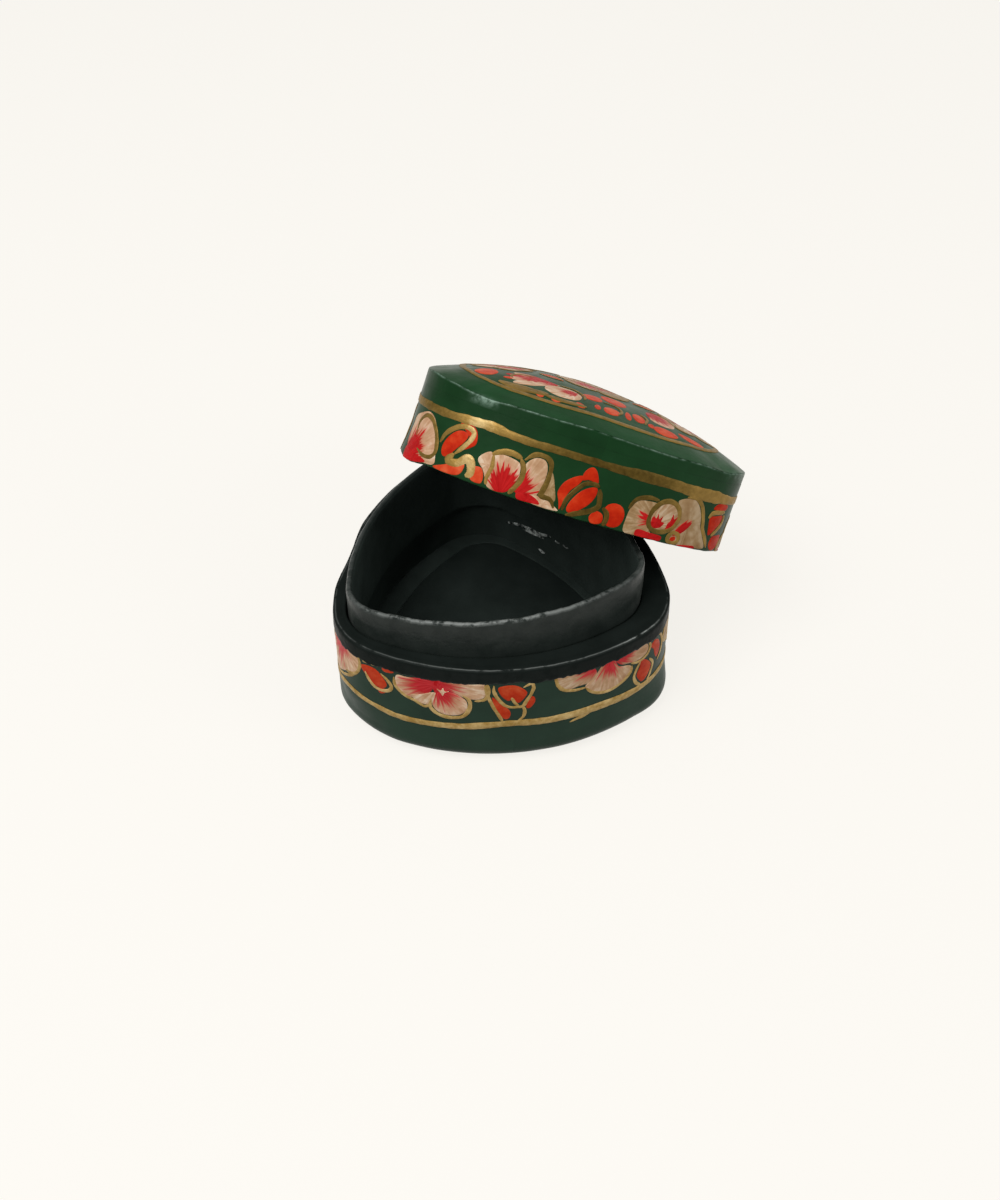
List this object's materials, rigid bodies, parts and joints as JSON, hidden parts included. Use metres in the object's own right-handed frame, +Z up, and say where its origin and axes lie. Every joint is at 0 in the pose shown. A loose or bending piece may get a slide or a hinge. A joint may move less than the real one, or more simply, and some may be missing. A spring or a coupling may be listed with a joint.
{
  "type": "papier-mache keepsake box",
  "caption": "Small rounded-triangle keepsake box of painted papier-mache, open, with a raised inner collar and a domed lift-off lid leaning across its back corner.",
  "frame": {"origin": "centre of the base's plan on the flat underside of the floor, at table height", "axes": "+Z up; -Y is the side of the box that faces the viewer and +Y its back corner; the plan is symmetrical about the YZ plane"},
  "size_m": [0.0941, 0.1008, 0.0719],
  "materials": {
    "base_wall": "dark green paint on moulded paper under clear lacquer",
    "base_floor": "black paint on moulded paper",
    "collar": "gloss black paint on a moulded paper strip",
    "lid_wall": "green paint on moulded paper under clear lacquer",
    "lid_crown": "green paint on moulded paper under clear lacquer"
  },
  "bodies": {
    "base": {"base_wall": "base_wall", "base_floor": "base_floor", "collar": "collar"},
    "lid": {"lid_wall": "lid_wall", "lid_crown": "lid_crown"}
  },
  "joints": [
    {"name": "lid_lift", "type": "slide", "parent": "base", "child": "lid", "axis": [0, 0, 1], "range_m": [0, 0.06]}
  ]
}
